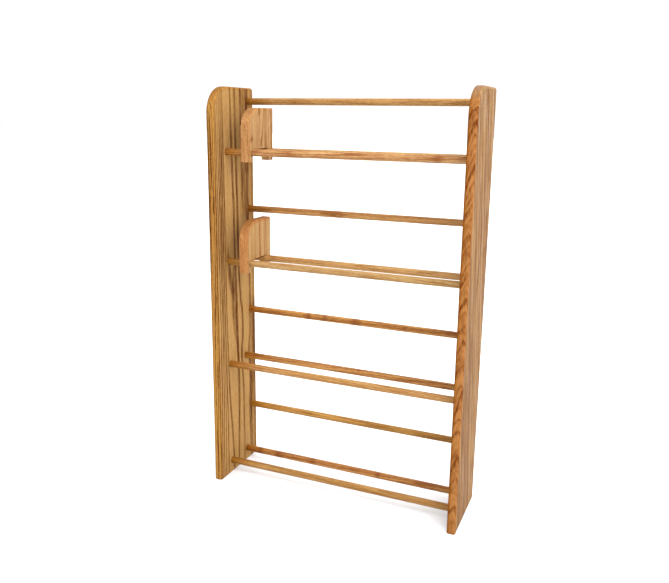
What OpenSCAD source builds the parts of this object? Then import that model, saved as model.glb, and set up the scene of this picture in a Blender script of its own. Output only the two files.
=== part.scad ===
// Free-standing oak storage rack: two upright side panels, rows of round dowels glued
// into blind sockets between them, and dividers that slide along the dowels.
// Origin: on the floor, midway between the panels and midway front to back.
// +X points to the right, +Y to the back and +Z up. Row 1 is the top row.

/* [Frame] */
// Overall height, from the floor to the tops of the side panels
rack_height = 938; // [760:1:1400]
// Overall width, over the outer faces of the two side panels
rack_width = 600; // [300:1:900]
// Depth of a side panel, front edge to rear edge
panel_depth = 180; // [165:1:260]
// Thickness of a side panel
panel_t = 19; // [16:0.5:28]
// Radius rounded over along the edges of a side panel
panel_edge_r = 5; // [2:0.5:7]
// Radius of a side panel's front top corner
panel_front_corner_r = 60; // [30:1:90]
// Radius of a side panel's rear top corner
panel_rear_corner_r = 8; // [7:0.5:20]

/* [Rows] */
// Number of rows of dowels, which are spread evenly over the height
rows = 4; // [2:1:6]
// Height of the bottom row's two lower dowels above the floor, at their centres
bottom_row_z = 29.7; // [26:0.1:80]
// Height of a backrest dowel above the lower dowels of its row
backrest_rise = 113.8; // [110:0.1:150]
// Wood above the centre of the top backrest dowel
top_margin = 31; // [20:0.5:80]

/* [Dowels] */
// Diameter of every dowel
dowel_d = 15.9; // [12:0.1:17]
// Distance of the front dowels from the panels' front edges, at their centres
front_dowel_setback = 54; // [40:0.5:60]
// Distance between the two lower dowels of a row, at their centres
lower_dowel_spacing = 74; // [60:0.5:80]
// Distance of the backrest dowels from the panels' rear edges, at their centres
backrest_inset = 25; // [18:0.5:32]
// Depth to which a dowel enters a side panel
socket_depth = 10; // [6:0.5:13]
// Glue room round a dowel in its socket
socket_clearance = 0.05; // [0.02:0.01:0.2]
// Glue room behind the end of a dowel
socket_end_gap = 0.5; // [0.2:0.1:1.5]
// Chamfer on the ends of a dowel
dowel_chamfer = 1; // [0.5:0.1:2]

/* [Dividers] */
// Thickness of a divider
divider_t = 20.5; // [12:0.5:25]
// Reach of a divider in front of the centre of the front dowel
divider_front_reach = 18.6; // [15:0.1:24]
// Reach of a divider behind the centre of the rear dowel
divider_rear_reach = 23; // [16:0.1:24]
// Height of a divider above the top of its slot
divider_rise = 90.3; // [65:0.1:94]
// Length of a divider's legs below the centres of the lower dowels
divider_leg_drop = 20.4; // [15:0.1:24]
// Radius of a divider's front top corner
divider_front_corner_r = 48; // [10:1:60]
// Radius of a divider's rear top corner
divider_rear_corner_r = 3; // [3:0.5:8]
// Radius that eases the outer edges of a divider
divider_edge_r = 1.5; // [0.5:0.1:3]
// Play of a dowel in the round end of a divider's slot, across the diameter
slot_play = 3.1; // [1:0.1:5]
// Reach of the front leg's lip behind the centre of the front hole
front_lip_reach = 0.7; // [-4:0.1:4]
// Distance of the rear leg's lip behind the centre of the rear hole
rear_lip_gap = 4; // [1:0.1:6]
// Running clearance between a divider and the tops of its dowels
divider_clearance = 0.3; // [0.1:0.05:0.6]
// Distance from the left panel to the divider of row 1
row1_divider_offset = 47.5; // [2:0.5:200]
// Distance from the left panel to the divider of row 2
row2_divider_offset = 39.5; // [2:0.5:200]

/* [Hidden] */
$fn = 96;
// How far a cutting shape runs past the face that it opens
cut = 1;
oak_panel = [0.74, 0.52, 0.29];
oak_dowel = [0.78, 0.50, 0.25];
oak_divider = [0.80, 0.58, 0.36];

inner_half = rack_width / 2 - panel_t;
panel_front_y = -panel_depth / 2;
front_dowel_y = panel_front_y + front_dowel_setback;
rear_dowel_y = front_dowel_y + lower_dowel_spacing;
backrest_y = panel_depth / 2 - backrest_inset;
row_pitch = (rack_height - top_margin - backrest_rise - bottom_row_z) / (rows - 1);
dowel_length = 2 * (inner_half + socket_depth);
slot_r = (dowel_d + slot_play) / 2;
slot_top = dowel_d / 2 + divider_clearance;
slot_mid = slot_top - slot_r;
divider_depth = divider_front_reach + lower_dowel_spacing + divider_rear_reach;
divider_height = divider_leg_drop + slot_top + divider_rise;

ROW_PARTS = ["front_dowel", "rear_dowel", "backrest_dowel"];
DIVIDER_OFFSETS = [row1_divider_offset, row2_divider_offset];

// Height of the two lower dowels of a row, counted from the top
function row_z(row) = bottom_row_z + (rows - row) * row_pitch;

// Where the centres of a row's three dowels lie, as [y, z]
function dowel_place(row, part) =
    part == "front_dowel" ? [front_dowel_y, row_z(row)] :
    part == "rear_dowel" ? [rear_dowel_y, row_z(row)] :
    [backrest_y, row_z(row) + backrest_rise];

// Cross-section of a board's rim: reach is along +X and the outer corners are round
module rim_section(reach, thickness, edge_r) {
    flat_half = thickness / 2 - edge_r;
    translate([0, -flat_half]) square([reach, 2 * flat_half]);
    if (reach > edge_r) {
        translate([0, -thickness / 2]) square([reach - edge_r, thickness]);
    }
    intersection() {
        for (side = [-1, 1]) {
            translate([reach - edge_r, side * flat_half]) circle(r = edge_r);
        }
        translate([0, -thickness / 2]) square([reach, thickness]);
    }
}

// A quarter turn of the rim, from +Y round to +Z, about an axis along X
module rim_corner(radius, thickness, edge_r) {
    rotate([90, 0, 90]) rotate_extrude(angle = 90) rim_section(radius, thickness, edge_r);
}

// An upright board in the YZ plane, with round edges and two round top corners.
// Its front edge is at Y = 0, its foot at Z = 0, and its thickness is centred on X = 0.
module rounded_board(depth, height, thickness, front_r, rear_r, edge_r) {
    // Below the corners
    linear_extrude(height - front_r) {
        translate([0, depth / 2]) rotate(90)
            rim_section(depth / 2, thickness, edge_r);
        translate([0, depth / 2]) rotate(-90)
            rim_section(depth / 2, thickness, edge_r);
    }
    // Between the corners
    translate([0, front_r, height - front_r]) rotate([-90, -90, 0])
        linear_extrude(depth - front_r - rear_r) rim_section(front_r, thickness, edge_r);
    // Behind, up to the rear corner
    translate([0, depth - rear_r, height - front_r])
        linear_extrude(front_r - rear_r) rotate(90) rim_section(rear_r, thickness, edge_r);
    // The two corners
    translate([0, depth - rear_r, height - rear_r]) rim_corner(rear_r, thickness, edge_r);
    translate([0, front_r, height - front_r]) mirror([0, 1, 0])
        rim_corner(front_r, thickness, edge_r);
}

// A side panel standing on X = 0, with its inner face towards +X
module side_panel() {
    color(oak_panel) difference() {
        translate([-panel_t / 2, panel_front_y, 0])
            rounded_board(panel_depth, rack_height, panel_t,
                panel_front_corner_r, panel_rear_corner_r, panel_edge_r);
        for (row = [1:rows]) {
            for (part = ROW_PARTS) {
                socket(dowel_place(row, part));
            }
        }
    }
}

// The blind hole for one dowel, cut into the inner face
module socket(place) {
    translate([-socket_depth - socket_end_gap, place[0], place[1]]) rotate([0, 90, 0])
        cylinder(h = socket_depth + socket_end_gap + cut, d = dowel_d + 2 * socket_clearance);
}

module side_panel_left() {
    translate([-inner_half, 0, 0]) side_panel();
}

module side_panel_right() {
    translate([inner_half, 0, 0]) mirror([1, 0, 0]) side_panel();
}

// A dowel with chamfered ends, which sit in the sockets
module dowel(place) {
    tip_d = dowel_d - 2 * dowel_chamfer;
    color(oak_dowel) translate([-dowel_length / 2, place[0], place[1]]) rotate([0, 90, 0]) {
        cylinder(h = dowel_chamfer, d1 = tip_d, d2 = dowel_d);
        translate([0, 0, dowel_chamfer])
            cylinder(h = dowel_length - 2 * dowel_chamfer, d = dowel_d);
        translate([0, 0, dowel_length - dowel_chamfer])
            cylinder(h = dowel_chamfer, d1 = dowel_d, d2 = tip_d);
    }
}

// The outline of the opening in a divider's foot, seen along X from the front dowel's
// centre: a hole round each lower dowel, the slot that joins them and the throat below
module slot_outline() {
    for (y = [0, lower_dowel_spacing]) {
        translate([y, slot_mid]) circle(r = slot_r);
    }
    translate([0, slot_mid - slot_r]) square([lower_dowel_spacing, 2 * slot_r]);
    translate([front_lip_reach, -divider_leg_drop - cut])
        square([lower_dowel_spacing + rear_lip_gap - front_lip_reach,
            divider_leg_drop + cut + slot_mid]);
}

// A divider that stands on the two lower dowels of a row and can slide along them
module divider(row) {
    left_face_x = -inner_half + DIVIDER_OFFSETS[row - 1];
    color(oak_divider) translate([left_face_x + divider_t / 2, front_dowel_y, row_z(row)])
        difference() {
            translate([0, -divider_front_reach, -divider_leg_drop])
                rounded_board(divider_depth, divider_height, divider_t,
                    divider_front_corner_r, divider_rear_corner_r, divider_edge_r);
            rotate([90, 0, 90]) linear_extrude(divider_t + 2 * cut, center = true)
                slot_outline();
        }
}

side_panel_left();
side_panel_right();
for (row = [1:rows]) {
    for (part = ROW_PARTS) {
        dowel(dowel_place(row, part));
    }
}
for (row = [1:len(DIVIDER_OFFSETS)]) {
    divider(row);
}
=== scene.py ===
"""Oak storage rack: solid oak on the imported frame, with a pale floor, soft light and a camera."""

import math

import bpy
from mathutils import Matrix, Vector


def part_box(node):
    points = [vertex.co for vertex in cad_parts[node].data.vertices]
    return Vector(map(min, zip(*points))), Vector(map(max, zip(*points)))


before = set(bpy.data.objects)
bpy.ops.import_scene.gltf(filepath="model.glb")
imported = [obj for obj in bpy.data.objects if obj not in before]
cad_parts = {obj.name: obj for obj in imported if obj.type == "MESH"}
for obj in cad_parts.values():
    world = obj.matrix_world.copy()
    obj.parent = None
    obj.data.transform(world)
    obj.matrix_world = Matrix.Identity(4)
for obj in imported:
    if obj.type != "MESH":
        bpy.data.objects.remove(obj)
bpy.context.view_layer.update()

MM = 0.001

# Where the photograph was taken from: metres, degrees and pixels of its 669 by 583 frame
IMAGE_WIDTH, IMAGE_HEIGHT = 669, 583
CAMERA_PLACE = Vector((0.5851, -1.4615, 0.8769))
CAMERA_TURN_LEFT = 22.756
CAMERA_TILT_DOWN = 12.679
CAMERA_ROLL = 0.711
FOCAL_PIXELS = 713.5
CENTRE_PIXEL = (333.4, 276.1)
SENSOR_MM = 36

# How bright the surround is, level with the rack and overhead, and between which two heights of
# a direction it changes, where 0 is level and 1 is straight up
WORLD_LEVEL = 1.1
WORLD_TOP = 2.9
WORLD_RISE = (0.1, 0.95)

# What share of that is left on its dim side, in front and to the left, and how near to that
# side a direction is where it begins to dim and where it is dimmest, where 1 is the side itself
DIM_SHARE = 0.35
DIM_SIDE = (-0.93, -0.37, 0)
DIM_STEP = (0.25, 0.9)

# The one lamp: metres and watts
KEY_PLACE = (1.3, -1.0, 2.0)
KEY_TARGET = (0, 0, 0.5)
KEY_SIZE = 1.4
KEY_WATTS = 20

# The floor: metres from the middle to a side and below the rack's feet, and its pale colour
FLOOR_REACH = 30.0
FLOOR_DROP = 0.0005
FLOOR_COLOUR = (0.81, 0.84, 0.87, 1)
FLOOR_ROUGHNESS = 0.9
FLOOR_SHEEN = 0.1

# Which way the grain runs and how a cut through the log lies: the axes of a piece as
# (width across the grain, thickness through the piece, length along the grain)
UPRIGHT = "YXZ"
LYING = "YZX"

# Tints, as they are seen, by which the wood's colour is multiplied: end grain, which drinks more
# oil and looks darker, painted shade, a darker and yellower tint on the side that faces away from
# the light, and the slow drift between yellower and redder wood, with the share of it that shows
END_GRAIN = (206, 194, 180)
PAINTED_SHADE_TINT = (226, 204, 134)
YELLOWER = (255, 247, 218)
REDDER = (255, 232, 226)
DRIFT_SHARE = 0.3

# Colours of the pale streaks that are painted sheen, of pores and of rays, and how much of the
# last two shows
PAINTED_SHEEN_COLOUR = (198, 184, 170)
PORE = (84, 50, 26)
PORE_SHARE = 0.45
RAY = (232, 196, 150)
RAY_SHARE = 0.03

# How far wood's middle tone is from a plain mix towards light that gets through both tones
CLEARNESS = 0.25

# Roughness at a low and at a high level of the fibre, and what a pore adds to it
ROUGHNESS_STEP = (0.2, 0.8)
ROUGHNESS = (0.36, 0.48)
PORE_ROUGHNESS = 0.2

# The relief: how deep it is in millimetres, how strongly it shows, and the shares of its parts
RELIEF_DEPTH = 0.1
RELIEF_STRENGTH = 0.35
FIBRE_RELIEF = 0.35
PORE_RELIEF = -0.8
YEAR_RELIEF = -0.2

# A year in oak: open early wood, dark where its pores are, then dense and lighter late wood
YEAR = [(0.0, 0.2), (0.06, 1.0), (0.2, 0.85), (0.42, 0.25), (0.7, 0.0), (0.92, 0.0), (1.0, 0.2)]

# Fibre frays the rings, by this share of a year
YEAR_FRAY = 0.16

# Some years are stronger than others, and darker years come in bands. Both are noise along the
# years, with this many lumps to a year, which turns from low to high between two of its levels
VIGOUR_PACE = 0.83
VIGOUR_STEP = (0.35, 0.65)
WEAKEST_YEAR = 0.2
BAND_PACE = 0.31
BAND_STEP = (0.4, 0.62)

# Fibre and dashes feather every dark line: what multiplies its strength goes from the first
# share to the second between two levels of their sum, and is less on end grain by this share
FEATHER_STEP = (0.75, 1.2)
FEATHER_SHARE = (0.65, 1.25)
LOSS_ON_ENDS = 0.7

# How far fibre and dashes move the edges of dark lines, in half widths of a line
JAG = 0.7

# How much fibre changes the tone by itself, and between which of its levels
FIBRE_DEPTH = 0.1
FIBRE_STEP = (0.25, 0.75)

# How square to the grain a surface is where end grain begins and where it is full, from 0 to 1
END_STEP = (0.35, 0.9)

# Millimetres below the surface of the front edge where its tint begins to fade and has faded
EDGE_DEPTH = (3, 10)

# By how much bands of years and loose streaks are weaker on a front edge with dark rings
CALM = 0.6

# A dark ring on the front edge: how far it falls for each millimetre that it goes back from
# there, how far it wavers in all, in millimetres, how strong it is in its gaps and between
# them, where it has faded above, in half widths, and by which factor it fades slower below
RING_FALL = 3.0
MARK_WAVER = 14.0
MARK_SHARE = (0.5, 1.1)
MARK_END = 1.4
MARK_FADE = 0.5

# A traced streak: the range of distances and the largest half width that its curve can hold,
# and its least half width, in millimetres, how strong it is in its gaps and between them, and
# where it begins to fade and has faded, in half widths
STREAK_REACH = 240
STREAK_WIDTH = 60
LEAST_STREAK = 0.01
STREAK_SHARE = (0.75, 1.3)
STREAK_FADE = (0.25, 1.3)

# A darker stretch: noise less the distance from its middle, which counts as 1 at this many half
# lengths, makes a soft step between these two levels
PATCH_FADE = 3.0
PATCH_STEP = (0.25, 0.55)

# How much the small dots that the tool leaves on a front edge change its tone
DOT_DEPTH = 0.16

# By how much early wood raises the noise that makes the pores
EARLY_PORES = 0.10

# The noise that makes the pale streaks of painted sheen is raised by this much towards the top,
# between these two heights above the middle of the piece, as shares of its height
PAINTED_SHEEN_GAIN = 0.1
PAINTED_SHEEN_RISE = (0.1, 0.5)

# How far a seed shifts the noise, in millimetres, and the rings, in years
SEED_SHIFT = (131.7, 57.3, 219.1)
YEAR_SHIFT = 17.31

# Dowels: by how much the rings of each are turned against those of the one before, in radians,
# and how far its pith lies from its middle, in millimetres: at one of a few places that are a
# step apart, taken in a scattered order. The pith leans by this many millimetres in each
DOWEL_TURN = 2.399
NEAREST_PITH = 14
PITH_STEP = 9
PITH_PLACES = 7
PITH_HOP = 5
PITH_LEAN = 0.03
FIRST_DOWEL_SEED = 10


class Noise:
    """A kind of noise in the wood.

    size is how large its lumps are, in millimetres across, through and along the grain. detail
    and roughness say how much finer noise lies in them. step holds the two levels, from 0 to 1,
    between which it turns from its low value to its high one.
    """

    def __init__(self, size, detail=2.0, roughness=0.5, step=(0.35, 0.65)):
        self.size = size
        self.detail = detail
        self.roughness = roughness
        self.step = step


# How the rings stray: slowly, and in short ripples
WANDER = Noise((60, 60, 420))
RIPPLE = Noise((13, 13, 95), detail=1.0)

# Fine fibre, and the shorter dashes in it
FIBRE = Noise((0.7, 0.7, 60), detail=3.0, roughness=0.65)
DASHES = Noise((1.1, 1.1, 22), roughness=0.6)

# Gaps in a traced streak and in a dark ring on the front edge, and the waver of such a ring
STREAK_GAPS = Noise((3, 3, 45), detail=1.0, step=(0.4, 0.62))
MARK_GAPS = Noise((3, 3, 30))
WAVER = Noise((7, 7, 28))

# The uneven tips of a darker stretch
TIPS = Noise((1.7, 1.7, 50), roughness=0.6)

# Small light and dark flecks, and dots on a front edge
FLECKS = Noise((1.8, 1.8, 12), detail=1.0, step=(0.3, 0.7))
DOTS = Noise((1.1, 1.1, 7), roughness=0.6)

# Pores, and rays, whose size is given round a ring, outwards and along the grain
PORES = Noise((0.45, 0.45, 7), detail=1.0, step=(0.64, 0.72))
RAYS = Noise((0.5, 14, 9), detail=1.0, step=(0.62, 0.70))

# The slow drift between yellower and redder wood
DRIFT = Noise((16, 16, 260))

# Pale streaks of painted sheen on the sides of a piece, whose size is given outwards, through and
# along the grain
PAINTED_SHEEN_NOISE = Noise((6, 6, 80), step=(0.55, 0.75))


class Wood:
    """One piece of oak: where it sat in the log, and its tones. Lengths are in millimetres.

    light and dark are the tones of its lightest and its darkest wood, as they are seen. pith is
    the centre of the rings: its place across and through the piece, from the middle, each as
    the coefficients of a curve along the grain. ring is the width of a year, wander and ripple
    say how far the rings stray slowly and quickly, and bands, years, streaks and flecks say how
    strong bands of years, single years, loose streaks and flecks are. seed sets the noise in
    the piece apart from that in others.

    streak_size is the size of loose streaks, from ring to ring, through and along. figure holds
    dark streaks that run along the grain: see Oak.streak_stops. marks holds dark rings where
    they cross the front edge, as (height, rise, bow, half width, depth): see Oak.mark_curve.
    patches holds darker stretches, as (place along the grain, half length, depth).

    edge is a tint for the wood next to the front edge, which runs over a rounded corner of the
    radius corner to the top, and edge_fade holds the two places along the grain, from the
    middle, between which it fades out. painted_shade is painted shade: a darker and yellower tint
    towards -X, on the side of a front edge that faces away from the light and at a dowel's end in
    the left panel, fully up to the first place, from the middle, and not at all from the second.
    end_grain is a tint for faces square to the grain. painted_sheen is how strongly pale streaks
    of painted sheen, which stand for the surround mirrored in the finish, show on the sides. sheen
    is how strongly the wood mirrors its surround, where 0.5 is a plain varnish. axes says which
    way the grain runs.
    """

    def __init__(self, light, dark, pith, ring, wander, bands, years, streaks, seed, ripple=1.2,
                 streak_size=(5, 5, 300), figure=(), marks=(), patches=(), flecks=0.08,
                 edge=None, corner=0, edge_fade=None, painted_shade=None, end_grain=END_GRAIN,
                 painted_sheen=0.0, sheen=0.01, axes=UPRIGHT):
        self.light = light
        self.dark = dark
        self.pith = pith
        self.ring = ring
        self.wander = wander
        self.ripple = ripple
        self.bands = bands
        self.years = years
        self.streaks = streaks
        self.streak_noise = Noise(streak_size, detail=3.0, roughness=0.6, step=(0.45, 0.68))
        self.figure = figure
        self.marks = marks
        self.patches = patches
        self.flecks = flecks
        self.edge = edge
        self.corner = corner
        self.edge_fade = edge_fade
        self.painted_shade = painted_shade
        self.end_grain = end_grain
        self.painted_sheen = painted_sheen
        self.sheen = sheen
        self.seed = seed
        self.axes = axes

    def middle_pith(self):
        """The place of the pith, across and through the piece, at the middle of its length."""
        return [curve[0] for curve in self.pith]


class Tree:
    """Short calls that add nodes to a node tree. An input may be a number, a vector or a socket."""

    def __init__(self, tree):
        self.tree = tree

    def add(self, kind, inputs=(), **settings):
        node = self.tree.nodes.new(kind)
        for key, value in settings.items():
            setattr(node, key, value)
        for key, value in dict(inputs).items():
            self.feed(node.inputs[key], value)
        return node

    def feed(self, socket, value):
        if isinstance(value, bpy.types.NodeSocket):
            self.tree.links.new(value, socket)
        else:
            socket.default_value = value

    def math(self, operation, a, b=0.0, c=0.0):
        return self.add("ShaderNodeMath", {0: a, 1: b, 2: c}, operation=operation).outputs[0]

    def vector(self, operation, a, b=(0, 0, 0), scale=None):
        node = self.add("ShaderNodeVectorMath", {0: a, 1: b}, operation=operation)
        if scale is not None:
            self.feed(node.inputs["Scale"], scale)
        scalar = operation in ("LENGTH", "DOT_PRODUCT")
        return node.outputs["Value" if scalar else "Vector"]

    def combine(self, x=0.0, y=0.0, z=0.0):
        return self.add("ShaderNodeCombineXYZ", {0: x, 1: y, 2: z}).outputs[0]

    def split(self, vector):
        return self.add("ShaderNodeSeparateXYZ", {0: vector}).outputs

    def length_across(self, vector):
        """The length of a vector without its third part, which is the one along the grain."""
        return self.vector("LENGTH", self.vector("MULTIPLY", vector, (1, 1, 0)))

    def curve(self, value, parts):
        """The polynomial of value with these coefficients, from the constant upwards."""
        result = parts[-1]
        for part in reversed(parts[:-1]):
            result = self.math("MULTIPLY_ADD", value, result, part)
        return result

    def smooth(self, value, low, high, to_low=0.0, to_high=1.0):
        """A soft step from to_low at low to to_high at high."""
        node = self.add("ShaderNodeMapRange", {0: value, 1: low, 2: high, 3: to_low, 4: to_high},
                        interpolation_type="SMOOTHSTEP")
        return node.outputs[0]

    def noise(self, place, kind):
        """Noise of this kind at a place, as its level and its colour."""
        place = self.vector("DIVIDE", place, kind.size)
        node = self.add("ShaderNodeTexNoise", {"Vector": place, "Scale": 1.0, "Detail": kind.detail,
                                               "Roughness": kind.roughness})
        return node.outputs

    def noise_step(self, place, kind, to_low=0.0, to_high=1.0):
        """Noise of this kind at a place, as a soft step from to_low to to_high."""
        return self.smooth(self.noise(place, kind)[0], *kind.step, to_low, to_high)

    def noise_shift(self, place, kind, reach):
        """Noise of this kind at a place, as a shift by up to about reach in any direction."""
        shift = self.vector("SUBTRACT", self.noise(place, kind)[1], (0.5, 0.5, 0.5))
        return self.vector("SCALE", shift, scale=2 * reach)

    def noise_along(self, value, detail=2.0, roughness=0.5):
        """The level of noise along one value, with lumps that are 1 long."""
        node = self.add("ShaderNodeTexNoise", {"W": value, "Scale": 1.0, "Detail": detail,
                                               "Roughness": roughness}, noise_dimensions="1D")
        return node.outputs[0]

    def ramp(self, value, stops, interpolation="EASE"):
        """A curve through the stops, given as (place, colour)."""
        node = self.add("ShaderNodeValToRGB", {0: value})
        ramp = node.color_ramp
        ramp.interpolation = interpolation
        ramp.elements.remove(ramp.elements[1])
        ramp.elements[0].position = stops[0][0]
        ramp.elements[0].color = (*stops[0][1], 1)
        for place, colour in stops[1:]:
            ramp.elements.new(place).color = (*colour, 1)
        return node.outputs[0]

    def profile(self, value, stops):
        """A curve through the stops, given as (place, height)."""
        return self.ramp(value, [(place, (height,) * 3) for place, height in stops])

    def mix(self, factor, a, b, blend="MIX"):
        node = self.add("ShaderNodeMix", {0: factor, 6: a, 7: b}, data_type="RGBA", blend_type=blend)
        return node.outputs[2]


def rgba(colour):
    """A colour given as it is seen, 0 to 255, as linear light."""
    def linear(value):
        value /= 255
        return value / 12.92 if value <= 0.04045 else ((value + 0.055) / 1.055) ** 2.4
    return tuple(linear(value) for value in colour) + (1.0,)


def tone_stops(light, dark):
    """The stops of a ramp from the light tone to the dark one, with a warm tone between them.

    Wood is a little clear, so its middle tones are warmer than a plain mix would be: they lie
    some of the way from that mix to the light that gets through both tones in turn.
    """
    light, dark = rgba(light)[:3], rgba(dark)[:3]
    middle = [CLEARNESS * math.sqrt(a * b) + (1 - CLEARNESS) * (a + b) / 2
              for a, b in zip(light, dark)]
    return [(0.0, light), (0.5, middle), (1.0, dark)]


class Oak:
    """The wood of one piece as shader nodes: cut from solid wood, with its rings, pores and rays.

    Places in it are in millimetres from the middle of the piece, as (across the grain, through
    the piece, along the grain). low and high are the corners of the piece, in metres.
    """

    def __init__(self, tree, wood, low, high):
        t = Tree(tree)
        self.t = t
        self.wood = wood
        self.size = (high - low) / MM

        # Place in the piece, place in the noise, and distance behind the front edge
        place = t.add("ShaderNodeTexCoord").outputs["Object"]
        place = t.vector("SCALE", t.vector("SUBTRACT", place, (low + high) / 2), scale=1 / MM)
        self.sides = dict(zip("XYZ", t.split(place)))
        self.across, self.through, self.along = (self.sides[axis] for axis in wood.axes)
        self.place = t.combine(self.across, self.through, self.along)
        self.shifted = t.vector("ADD", self.place, tuple(wood.seed * part for part in SEED_SHIFT))
        self.behind = t.math("ADD", self.across, 0.5 * self.size.y)

        # Distance from the pith, which wanders slowly and ripples a little
        wander = t.noise_shift(self.shifted, WANDER, wood.wander)
        self.ripple = t.noise_shift(self.shifted, RIPPLE, wood.ripple)
        bent = t.vector("ADD", t.vector("ADD", self.place, wander), self.ripple)
        pith = t.combine(*(t.curve(self.along, parts) for parts in wood.pith))
        self.from_pith = t.vector("SUBTRACT", bent, pith)
        self.radius = t.length_across(self.from_pith)

        # Fibre and dashes break every dark line, and move its edges
        self.fibre = t.noise(self.shifted, FIBRE)[0]
        self.break_up = t.math("ADD", self.fibre, t.noise(self.shifted, DASHES)[0])
        self.jag = t.math("MULTIPLY_ADD", self.break_up, JAG, -JAG)

        # The year's number, and how dark the wood is for its place in the year
        self.years = t.math("MULTIPLY_ADD", self.radius, 1 / wood.ring, wood.seed * YEAR_SHIFT)
        frayed = t.math("MULTIPLY_ADD", self.fibre, YEAR_FRAY, self.years)
        self.year = t.profile(t.math("FRACT", frayed), YEAR)

        self.front = self.front_share() if wood.edge else 1.0
        self.ends = self.end_share()

    def front_share(self):
        """1 next to the front edge and the rounded corner above it, and 0 deeper in the piece."""
        t, corner = self.t, self.wood.corner
        ahead = t.math("MAXIMUM", t.math("SUBTRACT", corner, self.behind), 0.0)
        above = t.math("MAXIMUM", t.math("ADD", self.along, corner - 0.5 * self.size.z), 0.0)
        inset = t.math("SUBTRACT", corner, t.vector("LENGTH", t.combine(ahead, above)))
        return t.smooth(inset, *EDGE_DEPTH, 1.0, 0.0)

    def end_share(self):
        """1 where the surface is square to the grain, and 0 along its sides."""
        t = self.t
        normal = t.split(t.add("ShaderNodeTexCoord").outputs["Normal"])
        end_axis = "XYZ".index(self.wood.axes[2])
        return t.smooth(t.math("ABSOLUTE", normal[end_axis]), *END_STEP)

    def year_lines(self):
        """The dark early wood of each year."""
        t = self.t
        vigour = t.noise_along(t.math("MULTIPLY", self.years, VIGOUR_PACE), detail=1.0)
        vigour = t.smooth(vigour, *VIGOUR_STEP, WEAKEST_YEAR, 1.0)
        return t.math("MULTIPLY", t.math("MULTIPLY", self.year, vigour), self.wood.years)

    def loose_lines(self):
        """Bands of darker years, and loose streaks."""
        t, wood = self.t, self.wood
        band = t.noise_along(t.math("MULTIPLY", self.years, BAND_PACE), roughness=0.6)
        band = t.smooth(band, *BAND_STEP)
        outwards = t.math("ADD", self.radius, wood.seed * SEED_SHIFT[0])
        streak = t.noise_step(t.combine(outwards, self.through, self.along), wood.streak_noise)
        loose = t.math("MULTIPLY_ADD", streak, wood.streaks, t.math("MULTIPLY", band, wood.bands))
        if wood.marks:
            loose = t.math("MULTIPLY", loose, t.math("MULTIPLY_ADD", self.front, -CALM, 1.0))
        return loose

    def mark_curve(self, height, rise, bow):
        """The curve of a dark ring across the front edge, from its side at -X to its side at +X.

        It passes the middle of the edge at this height, is higher at +X and lower at -X by rise,
        and lower at both by bow. The coefficients are those of a curve of the place through the
        piece, and give the place along the grain.
        """
        half_thickness = 0.5 * self.size.x
        return height - 0.5 * self.size.z, rise / half_thickness, -bow / half_thickness ** 2

    def add_marks(self, lines):
        """The dark rings that cross the front edge, on top of the other lines."""
        t = self.t

        # The height at which the ring through a place meets the front edge, with its waver
        waver = t.math("MULTIPLY", t.noise(self.shifted, WAVER)[0], MARK_WAVER)
        level = t.math("MULTIPLY_ADD", self.behind, RING_FALL, t.math("ADD", self.along, waver))
        level = t.math("SUBTRACT", level, 0.5 * MARK_WAVER)

        share = t.noise_step(self.shifted, MARK_GAPS, *MARK_SHARE)
        share = t.math("MULTIPLY", share, self.front)
        for height, rise, bow, half_width, depth in self.wood.marks:
            middle = t.curve(self.through, self.mark_curve(height, rise, bow))
            above = t.math("MULTIPLY", t.math("SUBTRACT", level, middle), 1 / half_width)
            off = t.math("MAXIMUM", above, t.math("MULTIPLY", above, -MARK_FADE))
            mark = t.smooth(t.math("ADD", off, self.jag), 0.0, MARK_END, share, 0.0)
            lines = t.math("MULTIPLY_ADD", mark, depth, lines)
        return lines

    def streak_stops(self, streak):
        """The curve of one traced streak, as (share of the length, (place, half width, depth)).

        A streak is a list of (height, distance, half width, depth): it was traced on the side of
        the piece that faces +X, distance is measured from its front edge, and height from its
        foot. The place is that of the ring through it, so that the streak goes on through the
        piece.
        """
        size, pith = self.size, self.wood.middle_pith()
        stops = []
        for height, distance, half_width, depth in sorted(streak):
            across = distance - size.y / 2
            ring = math.hypot(across - pith[0], size.x / 2 - pith[1]) - math.hypot(*pith)
            stops.append((height / size.z,
                          (0.5 + ring / STREAK_REACH, half_width / STREAK_WIDTH, depth)))
        return stops

    def add_figure(self, lines):
        """The traced streaks, on top of the other lines."""
        t, pith = self.t, self.wood.middle_pith()

        # The place of the ring, counted from the one in the middle, round a pith that is straight
        straight = t.vector("SUBTRACT", t.vector("ADD", self.place, self.ripple), (*pith, 0))
        ring_place = t.math("SUBTRACT", t.length_across(straight), math.hypot(*pith))

        height = t.math("MULTIPLY_ADD", self.along, 1 / self.size.z, 0.5)
        share = t.noise_step(self.shifted, STREAK_GAPS, *STREAK_SHARE)
        for streak in self.wood.figure:
            curve = t.split(t.ramp(height, self.streak_stops(streak), "CARDINAL"))
            middle = t.math("MULTIPLY_ADD", curve[0], STREAK_REACH, -0.5 * STREAK_REACH)
            width = t.math("MULTIPLY_ADD", curve[1], STREAK_WIDTH, LEAST_STREAK)
            off = t.math("DIVIDE", t.math("SUBTRACT", ring_place, middle), width)
            off = t.math("ADD", t.math("ABSOLUTE", off), self.jag)
            bell = t.smooth(off, *STREAK_FADE, share, 0.0)
            lines = t.math("MULTIPLY_ADD", bell, curve[2], lines)
        return lines

    def add_patches(self, lines):
        """The darker stretches, on top of the other lines."""
        t = self.t
        tips = t.noise(self.shifted, TIPS)[0]
        for middle, half_length, depth in self.wood.patches:
            off = t.math("ABSOLUTE", t.math("SUBTRACT", self.along, middle))
            near = t.math("MULTIPLY_ADD", off, -1 / (PATCH_FADE * half_length), tips)
            lines = t.math("ADD", lines, t.smooth(near, *PATCH_STEP, 0.0, depth))
        return lines

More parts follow.
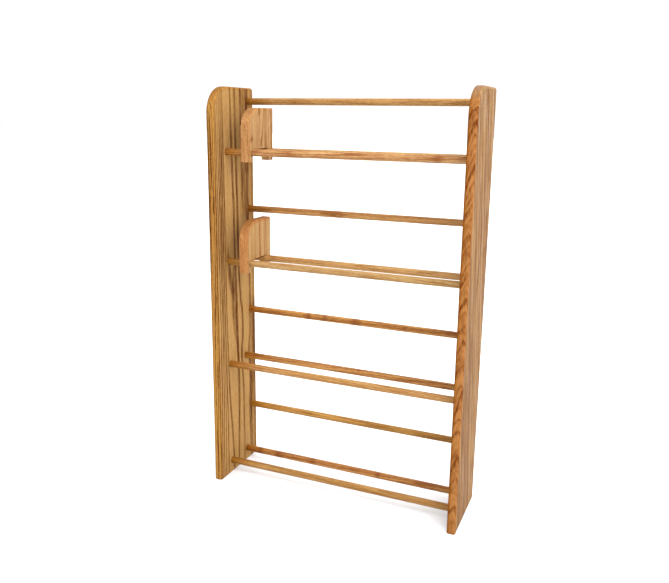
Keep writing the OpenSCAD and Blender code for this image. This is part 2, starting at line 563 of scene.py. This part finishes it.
    def tone(self):
        """How dark the wood is: 0 is the lightest wood and 1 the darkest."""
        t, wood = self.t, self.wood
        lines = t.math("ADD", self.loose_lines(), self.year_lines())
        if wood.marks:
            lines = self.add_marks(lines)
        if wood.figure:
            lines = self.add_figure(lines)
        if wood.patches:
            lines = self.add_patches(lines)
        feather = t.smooth(self.break_up, *FEATHER_STEP, *FEATHER_SHARE)
        on_ends = t.math("MULTIPLY_ADD", self.ends, -LOSS_ON_ENDS, 1.0)
        tone = t.math("MULTIPLY", lines, t.math("MULTIPLY", feather, on_ends))
        tone = t.math("ADD", tone, t.smooth(self.fibre, *FIBRE_STEP, -FIBRE_DEPTH, FIBRE_DEPTH))
        tone = t.math("ADD", tone, t.noise_step(self.shifted, FLECKS, -wood.flecks, wood.flecks))
        if wood.edge:
            dots = t.noise_step(self.shifted, DOTS, -DOT_DEPTH, DOT_DEPTH)
            tone = t.math("ADD", tone, t.math("MULTIPLY", dots, self.front))
        return tone

    def pores(self):
        """Short dark dashes, thickest in the early wood."""
        t = self.t
        grain = t.noise(self.shifted, PORES)[0]
        return t.smooth(t.math("MULTIPLY_ADD", self.year, EARLY_PORES, grain), *PORES.step)

    def rays(self):
        """Flecks that run from the pith outwards."""
        t = self.t
        from_pith = t.split(self.from_pith)
        turn = t.math("ARCTAN2", from_pith[1], from_pith[0])
        place = t.combine(t.math("MULTIPLY", turn, self.radius), self.radius, self.along)
        return t.noise_step(place, RAYS)

    # Painted reflection: these pale streaks stand for sheen, the light of the surround mirrored in the
    # finish
    def painted_sheen_streaks(self, near_edge):
        """Pale streaks along the grain, away from the front edge and most frequent high up."""
        t = self.t
        start, end = (share * self.size.z for share in PAINTED_SHEEN_RISE)
        gain = t.smooth(self.along, start, end, 0.0, PAINTED_SHEEN_GAIN)
        painted_sheen = t.noise(t.combine(self.radius, self.through, self.along), PAINTED_SHEEN_NOISE)[0]
        painted_sheen = t.smooth(t.math("ADD", painted_sheen, gain), *PAINTED_SHEEN_NOISE.step, 0.0, self.wood.painted_sheen)
        return t.math("MULTIPLY", painted_sheen, t.math("SUBTRACT", 1.0, near_edge))

    def colour(self, pores):
        """The colour of the wood, with its tints, pale streaks, pores and rays."""
        t, wood = self.t, self.wood
        drift = t.noise_step(self.shifted, DRIFT)
        colour = t.ramp(self.tone(), tone_stops(wood.light, wood.dark), "LINEAR")
        tint = t.mix(drift, rgba(YELLOWER), rgba(REDDER))
        colour = t.mix(DRIFT_SHARE, colour, tint, "MULTIPLY")
        near_edge = self.front
        if wood.edge_fade:
            fade = t.smooth(self.along, *wood.edge_fade, 1.0, 0.0)
            near_edge = t.math("MULTIPLY", near_edge, fade)
        if wood.edge:
            colour = t.mix(near_edge, colour, rgba(wood.edge), "MULTIPLY")
        # Painted shade: a darker, yellower tint towards -X, on the side of a front edge that faces
        # away from the light and at a dowel's end in the left panel
        if wood.painted_shade:
            turned = t.smooth(self.sides["X"], *wood.painted_shade, 1.0, 0.0)
            turned = t.math("MULTIPLY", turned, near_edge)
            colour = t.mix(turned, colour, rgba(PAINTED_SHADE_TINT), "MULTIPLY")
        # Painted sheen: pale greyish streaks, more of them high up, painted into the colour instead of
        # mirrored
        if wood.painted_sheen:
            colour = t.mix(self.painted_sheen_streaks(near_edge), colour, rgba(PAINTED_SHEEN_COLOUR))
        colour = t.mix(self.ends, colour, rgba(wood.end_grain), "MULTIPLY")
        colour = t.mix(t.math("MULTIPLY", pores, PORE_SHARE), colour, rgba(PORE))
        return t.mix(t.math("MULTIPLY", self.rays(), RAY_SHARE), colour, rgba(RAY))

    def roughness(self, pores):
        """The roughness of the surface, which fibre and pores change."""
        rough = self.t.smooth(self.fibre, *ROUGHNESS_STEP, *ROUGHNESS)
        return self.t.math("MULTIPLY_ADD", pores, PORE_ROUGHNESS, rough)

    def relief(self, pores):
        """The surface's normal: fibre stands out, and pores and early wood lie deeper."""
        t = self.t
        height = t.math("MULTIPLY", self.fibre, FIBRE_RELIEF)
        height = t.math("MULTIPLY_ADD", pores, PORE_RELIEF, height)
        height = t.math("MULTIPLY_ADD", self.year, YEAR_RELIEF, height)
        bump = t.add("ShaderNodeBump", {"Strength": RELIEF_STRENGTH, "Distance": RELIEF_DEPTH * MM,
                                        "Height": height})
        return bump.outputs[0]


def oak_material(name, wood, low, high):
    """The material of one piece of oak, whose corners in metres are low and high."""
    material = bpy.data.materials.new(name)
    material.use_nodes = True
    shader = material.node_tree.nodes["Principled BSDF"]
    oak = Oak(material.node_tree, wood, low, high)
    pores = oak.pores()
    oak.t.feed(shader.inputs["Base Color"], oak.colour(pores))
    oak.t.feed(shader.inputs["Roughness"], oak.roughness(pores))
    oak.t.feed(shader.inputs["Normal"], oak.relief(pores))
    shader.inputs["Specular IOR Level"].default_value = wood.sheen
    return material


# Dark streaks of the left panel, as points from foot to top: see Oak.streak_stops. Distances
# below zero lie outside the inner side, and such a streak shows on the front edge
LEFT_FIGURE = [
    # On the front edge: a darker stretch and outer part, a crack, a line with dashes and a patch
    [(330, -5, 9, 0.0), (480, -5, 9, 0.12), (720, -5, 9, 0.14), (840, -5, 9, 0.0)],
    [(480, -8.2, 1.4, 0.0), (560, -7.8, 1.6, 0.4), (880, -7.8, 1.6, 0.45), (938, -7.5, 1.6, 0.3)],
    [(700, -4.4, 0.7, 0.0), (735, -4.4, 1.0, 1.5), (770, -4.9, 0.8, 1.2), (800, -4.6, 1.0, 1.3),
     (840, -5.1, 0.8, 1.0), (870, -5.2, 0.6, 0.8), (890, -5.2, 0.6, 0.0)],
    [(20, -4.2, 0.52, 0.8), (100, -4, 0.52, 0.96), (150, -2.9, 0.52, 0.96), (200, -1.2, 0.65, 0.96),
     (240, -1.0, 0.65, 0.48)],
    [(235, -1.2, 1.04, 0.0), (255, -1.2, 1.17, 1.28), (290, -1.2, 1.17, 1.28), (308, -1.2, 1.04, 0.0)],
    [(330, -4.9, 0.52, 0.8), (365, -4.5, 0.78, 1.6), (385, -4, 0.52, 0.8), (428, -3.4, 0.78, 1.6),
     (450, -2.9, 0.52, 0.8), (500, -2.2, 0.52, 0.8), (540, -1.4, 0.52, 0.48)],
    [(650, -1.4, 1.56, 0.0), (672, -1.2, 1.56, 1.28), (700, -0.6, 1.3, 0.0)],
    # On the inner side: fine lines near the front
    [(0, 2, 1.6, 0.7), (200, 2.8, 1.6, 0.8), (400, 3, 1.6, 0.8), (600, 4.3, 1.8, 1.0),
     (780, 4.4, 1.8, 0.6), (938, 4.5, 1.8, 0.15)],
    [(0, 7, 1.8, 0.7), (200, 12, 2.0, 0.8), (400, 14, 2.0, 0.8), (700, 11, 1.8, 0.8),
     (820, 10, 1.8, 0.45), (938, 9, 1.8, 0.15)],
    [(0, 15, 1.8, 0.75), (200, 20, 1.8, 0.9), (400, 22, 1.8, 0.9), (700, 19, 2.2, 0.9),
     (820, 17, 2.2, 0.5), (938, 16, 2.0, 0.15)],
    [(0, 24, 1.8, 0.75), (200, 28, 1.6, 0.75), (400, 27, 1.6, 0.75), (700, 25, 2.2, 1.05),
     (840, 24, 2.2, 0.6), (938, 23, 2.0, 0.2)],
    [(0, 36, 2.0, 0.8), (120, 37, 2.0, 0.8), (400, 33, 2.0, 1.0), (700, 32, 2.6, 1.1),
     (840, 31, 2.6, 0.7), (938, 30, 2.2, 0.3)],
    # The two long streaks, and what branches off them
    [(0, 64, 3.4, 0.6), (60, 60, 4.0, 0.75), (180, 50, 3.8, 0.7), (355, 42, 3.2, 0.65),
     (700, 40, 3.4, 0.75), (938, 37, 2.6, 0.5)],
    [(0, 86, 4.4, 0.6), (63, 88, 4.4, 0.7), (200, 92, 5.4, 0.8), (355, 88, 5.8, 0.85),
     (500, 85, 4.8, 0.65), (730, 78, 5.2, 0.7), (938, 72, 4.4, 0.6)],
    [(310, 86, 3, 0.0), (350, 80, 7, 0.4), (390, 76, 10, 0.55), (440, 74, 11, 0.55),
     (480, 75, 9, 0.5), (530, 79, 6, 0.4), (600, 82, 2, 0.0)],
    [(425, 74, 4, 0.0), (455, 69, 8, 0.4), (480, 64, 10, 0.6), (505, 58, 10, 0.65),
     (530, 54, 7, 0.6), (570, 50, 4, 0.4), (640, 47, 2, 0.0)],
    [(0, 116, 3.6, 0.5), (200, 114, 4.0, 0.7), (300, 108, 4.4, 0.75), (345, 114, 5.0, 0.7),
     (400, 113, 5.0, 0.7), (430, 107, 4.8, 0.75), (500, 100, 5.0, 0.75), (730, 96, 5.2, 0.75),
     (938, 92, 4.4, 0.6)],
    # Towards the rear: a broad wavy streak, and a brown field above it
    [(0, 152, 7, 0.55), (120, 149, 9, 0.7), (220, 152, 9, 0.75), (300, 144, 5, 0.6),
     (340, 150, 5, 0.35), (430, 152, 5, 0.65), (520, 150, 5, 0.6), (600, 146, 6, 0.35)],
    [(180, 164, 10, 0.0), (280, 166, 12, 0.35), (380, 166, 12, 0.35), (460, 168, 8, 0.0)],
    [(520, 140, 10, 0.0), (620, 140, 22, 0.4), (730, 140, 28, 0.5), (938, 136, 28, 0.4)],
    [(620, 122, 3, 0.0), (700, 122, 4, 0.5), (760, 121, 4, 0.5), (938, 117, 4, 0.5)],
    [(0, 170, 10, 0.4), (300, 170, 10, 0.5), (430, 170, 8, 0.3), (938, 172, 8, 0.45)],
]

# Dark rings of the right panel: see Wood
RIGHT_MARKS = [
    (62, 14, 6, 4, 0.7), (98, 8, 4, 3, 0.35), (126, 12, 7, 4, 0.65), (146, 14, 7, 3, 0.3),
    (168, 25, 8, 6, 1.0), (190, 18, 7, 3, 0.4), (234, 10, 5, 4, 0.6), (262, 14, 5, 3, 0.35),
    (292, 45, 2, 7, 0.95), (330, 20, 8, 5, 0.65), (376, 14, 8, 5, 0.6), (397, 8, 2, 7, 0.35),
    (425, 22, 6, 5, 0.7), (455, 6, 0, 4, 0.35), (490, 9, 0, 4, 0.35), (513, 20, 6, 5, 0.8),
    (545, 20, 3, 3, 0.4), (563, 22, 3, 3, 0.4), (580, 24, 0, 4, 0.5), (600, 20, 0, 3, 0.4),
    (620, 20, 0, 3, 0.45), (645, 14, 0, 4, 0.5), (673, 16, 0, 4, 0.5), (697, 17, -5, 5, 0.7),
    (716, 24, 0, 3, 0.45), (735, 30, 0, 4, 0.6), (764, 31, 0, 6, 0.95), (788, 30, 0, 3, 0.45),
    (806, 28, 0, 3, 0.4), (828, 26, 0, 3, 0.5), (855, 22, 0, 6, 0.95), (876, 20, 0, 3, 0.4),
    (893, 18, 0, 5, 0.55), (912, 16, 0, 3, 0.35),
]

# Dark streaks of the right panel's outer side
RIGHT_FIGURE = [
    # Brown fields, with light wood between them towards the rear
    [(0, 60, 50, 0.2), (250, 60, 50, 0.2), (400, 70, 40, 0.15), (480, 70, 30, 0.0)],
    [(490, 84, 4, 0.0), (530, 90, 10, 0.5), (580, 97, 8, 0.4), (663, 103, 7, 0.35),
     (746, 108, 10, 0.45), (800, 100, 7, 0.25), (870, 84, 3, 0.0)],
    [(60, 140, 8, 0.0), (90, 142, 12, 0.4), (120, 138, 8, 0.0)],
    [(570, 135, 5, 0.0), (596, 144, 9, 0.4), (620, 152, 5, 0.0)],
    [(640, 138, 5, 0.0), (671, 147, 9, 0.5), (690, 160, 5, 0.0)],
    # Long streaks that lean towards the front, going up
    [(690, 168, 3, 0.0), (742, 150, 4, 0.45), (846, 118, 4, 0.45), (900, 98, 3, 0.0)],
    [(420, 118, 3, 0.0), (560, 92, 4, 0.3), (740, 64, 4, 0.4), (938, 34, 3, 0.3)],
    [(330, 96, 3, 0.0), (500, 68, 4, 0.35), (700, 36, 4, 0.4), (860, 12, 3, 0.0)],
    [(200, 72, 3, 0.0), (380, 46, 4, 0.3), (560, 20, 3, 0.35), (640, 10, 3, 0.0)],
    [(60, 168, 3, 0.0), (300, 148, 5, 0.35), (400, 131, 5, 0.4), (520, 118, 3, 0.0)],
]

# Dark streaks of the dividers' sides
ROW1_DIVIDER_FIGURE = [
    [(30, 57, 3.5, 0.0), (38, 58, 3.5, 0.9), (48, 60, 3.2, 0.9), (59, 65, 1.8, 0.9),
     (83, 68, 1.4, 0.8), (103, 71, 1.6, 0.9), (118, 74, 1.8, 0.9)],
    [(42, 13, 5, 0.0), (48, 14, 7, 0.6), (54, 15, 5, 0.6), (62, 16, 2, 0.0)],
    [(96, 50, 1.0, 0.0), (104, 50, 2.5, 0.6), (118, 50, 4.0, 0.6)],
    [(20, 82, 1.4, 0.5), (60, 82, 1.4, 0.5), (78, 81, 1.0, 0.0)],
    [(30, 95, 2.0, 0.3), (60, 95, 2.4, 0.6), (100, 93, 1.6, 0.0)],
    [(40, 107, 3.0, 0.4), (90, 106, 3.0, 0.5), (118, 104, 4.0, 0.5)],
]
ROW2_DIVIDER_FIGURE = [
    [(0, 38, 1.4, 0.9), (118, 38, 1.4, 0.9)],
    [(0, 63, 4, 0.7), (60, 61, 3.5, 0.75), (118, 60, 2.5, 0.7)],
    [(0, 83, 1.3, 0.8), (118, 83, 1.3, 0.8)],
]

# The tint towards -X on the panels' front edges is painted shade
WOODS = {
    "side_panel_left": Wood(
        (172, 135, 83), (80, 40, 6), pith=((-560, -0.03), (-260,)), ring=3.1, wander=3,
        bands=0.06, years=0.1, streaks=0.1, figure=LEFT_FIGURE, edge=(246, 232, 199),
        corner=60, painted_shade=(-9, -2), seed=1),
    # The right panel's pale streaks are painted sheen
    "side_panel_right": Wood(
        (156, 121, 74), (92, 50, 12), pith=((-220, -0.18), (42, 0.074)), ring=4.9, wander=2.0,
        ripple=0.6, bands=0.45, years=0.3, streaks=0.6, streak_size=(7, 7, 180),
        marks=RIGHT_MARKS, figure=RIGHT_FIGURE, edge=(260, 231, 213), corner=60,
        edge_fade=(433, 463), painted_shade=(-9, 0), end_grain=(218, 217, 242), painted_sheen=0.18, seed=2),
    "row1_divider": Wood(
        (172, 137, 95), (120, 74, 34), pith=((-260,), (-80,)), ring=5.0, wander=3, bands=0.25,
        years=0.3, streaks=0.3, streak_size=(6, 6, 90), figure=ROW1_DIVIDER_FIGURE,
        edge=(264, 254, 242), corner=48, seed=3),
    "row2_divider": Wood(
        (178, 147, 102), (130, 76, 30), pith=((-300,), (-60,)), ring=5.0, wander=1.5,
        bands=0.25, years=0.35, streaks=0.4, figure=ROW2_DIVIDER_FIGURE,
        edge=(249, 222, 202), corner=48, seed=4),
}

# Painted shade: every dowel is a little darker where it runs into a panel
DOWEL_END_SHADE = [(-295, 35, 0.5), (295, 30, 0.5)]

# Each dowel's light and dark tones, and its darker stretches: see Wood
DOWELS = {
    "row1_backrest_dowel": ((169, 130, 82), (130, 90, 44), [(-150, 60, 0.5)]),
    "row1_front_dowel": ((183, 144, 99), (130, 78, 40), [(-120, 70, 0.4), (215, 25, 0.9)]),
    "row1_rear_dowel": ((183, 147, 97), (138, 98, 54), []),
    "row2_backrest_dowel": ((176, 134, 84), (128, 84, 42), [(-55, 40, 1.4)]),
    "row2_front_dowel": ((175, 145, 99), (138, 98, 54), []),
    "row2_rear_dowel": ((187, 148, 97), (138, 98, 54), [(-200, 30, 0.5)]),
    "row3_backrest_dowel": ((182, 133, 73), (124, 74, 36), [
        (-118, 14, 0.7), (-75, 14, 0.7), (5, 22, 1.0), (127, 12, 0.5), (262, 30, 0.7)]),
    "row3_front_dowel": ((175, 137, 87), (138, 92, 46), [(-240, 60, 0.5)]),
    "row3_rear_dowel": ((179, 134, 79), (124, 74, 36), [(160, 90, 0.3)]),
    "row4_backrest_dowel": ((180, 137, 75), (136, 96, 46), [(80, 60, 0.3), (220, 90, 0.5)]),
    "row4_front_dowel": ((165, 127, 77), (130, 90, 44), [(120, 100, 0.4)]),
    "row4_rear_dowel": ((182, 135, 80), (124, 74, 36), [
        (-238, 12, 0.5), (-186, 18, 0.8), (-92, 14, 0.7), (81, 14, 0.8), (190, 80, 0.5)]),
}


def dowel_wood(index, light, dark, patches):
    """Dowels are turned from many boards, so each has its own cut of the rings."""
    turn = index * DOWEL_TURN
    distance = NEAREST_PITH + PITH_STEP * (index * PITH_HOP % PITH_PLACES)
    pith = ((distance * math.cos(turn), PITH_LEAN * math.cos(turn + 1)),
            (distance * math.sin(turn), PITH_LEAN * math.sin(turn + 1)))
    # Painted shade at the ends: darker stretches where the dowel runs into a panel, and a darker,
    # yellower tint at its end in the left panel
    return Wood(light, dark, pith=pith, ring=2.6, wander=2.5, ripple=0.8, bands=0.45, years=0.6,
                streaks=0.5, streak_size=(4, 4, 90), patches=patches + DOWEL_END_SHADE, flecks=0.2,
                painted_shade=(-285, -185), sheen=0.07, seed=FIRST_DOWEL_SEED + index, axes=LYING)


def dress_pieces():
    """Gives every CAD piece its own oak."""
    woods = dict(WOODS)
    for index, (node, values) in enumerate(DOWELS.items()):
        woods[node] = dowel_wood(index, *values)
    for node, wood in woods.items():
        low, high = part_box(node)
        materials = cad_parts[node].data.materials
        materials.clear()
        materials.append(oak_material(f"oak_{node}", wood, low, high))


def make_floor():
    """A plain pale floor, wide enough to fill the view."""
    mesh = bpy.data.meshes.new("floor")
    reach = FLOOR_REACH
    corners = [(-reach, -reach, 0), (reach, -reach, 0), (reach, reach, 0), (-reach, reach, 0)]
    mesh.from_pydata(corners, [], [(0, 1, 2, 3)])
    floor = bpy.data.objects.new("floor", mesh)
    bpy.context.scene.collection.objects.link(floor)
    floor.location.z = -FLOOR_DROP
    material = bpy.data.materials.new("floor_white")
    material.use_nodes = True
    shader = material.node_tree.nodes["Principled BSDF"]
    shader.inputs["Base Color"].default_value = FLOOR_COLOUR
    shader.inputs["Roughness"].default_value = FLOOR_ROUGHNESS
    shader.inputs["Specular IOR Level"].default_value = FLOOR_SHEEN
    mesh.materials.append(material)


def make_surround():
    """Soft studio light: a white surround that is brightest overhead, and dim on one side.

    Yet it never looks less than white to the camera, where nothing hides it.
    """
    world = bpy.data.worlds.new("studio")
    world.use_nodes = True
    t = Tree(world.node_tree)
    direction = t.add("ShaderNodeTexCoord").outputs["Generated"]
    background = world.node_tree.nodes["Background"]
    background.inputs["Color"].default_value = (1.0, 1.0, 1.0, 1)
    bright = t.smooth(t.split(direction)[2], *WORLD_RISE, WORLD_LEVEL, WORLD_TOP)
    towards_dim = t.vector("DOT_PRODUCT", direction, DIM_SIDE)
    share = t.smooth(towards_dim, *DIM_STEP, 1.0, DIM_SHARE)
    in_sight = t.add("ShaderNodeLightPath").outputs["Is Camera Ray"]
    strength = t.math("MAXIMUM", t.math("MULTIPLY", bright, share), in_sight)
    t.feed(background.inputs["Strength"], strength)
    bpy.context.scene.world = world


def make_lamp():
    """One large soft lamp, in front, above and to the right."""
    light = bpy.data.lights.new("key", "AREA")
    light.shape = "SQUARE"
    light.size = KEY_SIZE
    light.energy = KEY_WATTS
    lamp = bpy.data.objects.new("key", light)
    bpy.context.scene.collection.objects.link(lamp)
    lamp.location = KEY_PLACE
    direction = Vector(KEY_TARGET) - Vector(KEY_PLACE)
    lamp.rotation_euler = direction.to_track_quat("-Z", "Y").to_euler()


def make_camera():
    """The photograph's own viewpoint: place, turn, tilt, roll, lens and frame."""
    data = bpy.data.cameras.new("camera")
    data.sensor_width = SENSOR_MM
    data.lens = FOCAL_PIXELS * SENSOR_MM / IMAGE_WIDTH
    data.shift_x = (IMAGE_WIDTH / 2 - CENTRE_PIXEL[0]) / IMAGE_WIDTH
    data.shift_y = (CENTRE_PIXEL[1] - IMAGE_HEIGHT / 2) / IMAGE_WIDTH
    camera = bpy.data.objects.new("camera", data)
    bpy.context.scene.collection.objects.link(camera)
    turn, tilt, roll = (math.radians(a) for a in (CAMERA_TURN_LEFT, CAMERA_TILT_DOWN, CAMERA_ROLL))
    level = Vector((math.cos(turn), math.sin(turn), 0))
    ahead = Vector((-math.sin(turn) * math.cos(tilt), math.cos(turn) * math.cos(tilt),
                    -math.sin(tilt)))
    up = level.cross(ahead)
    right = level * math.cos(roll) + up * math.sin(roll)
    upward = up * math.cos(roll) - level * math.sin(roll)
    turned = Matrix((right, upward, -ahead)).transposed().to_4x4()
    camera.matrix_world = Matrix.Translation(CAMERA_PLACE) @ turned
    bpy.context.scene.camera = camera


dress_pieces()
make_floor()
make_surround()
make_lamp()
make_camera()
bpy.context.scene.view_settings.view_transform = "Standard"
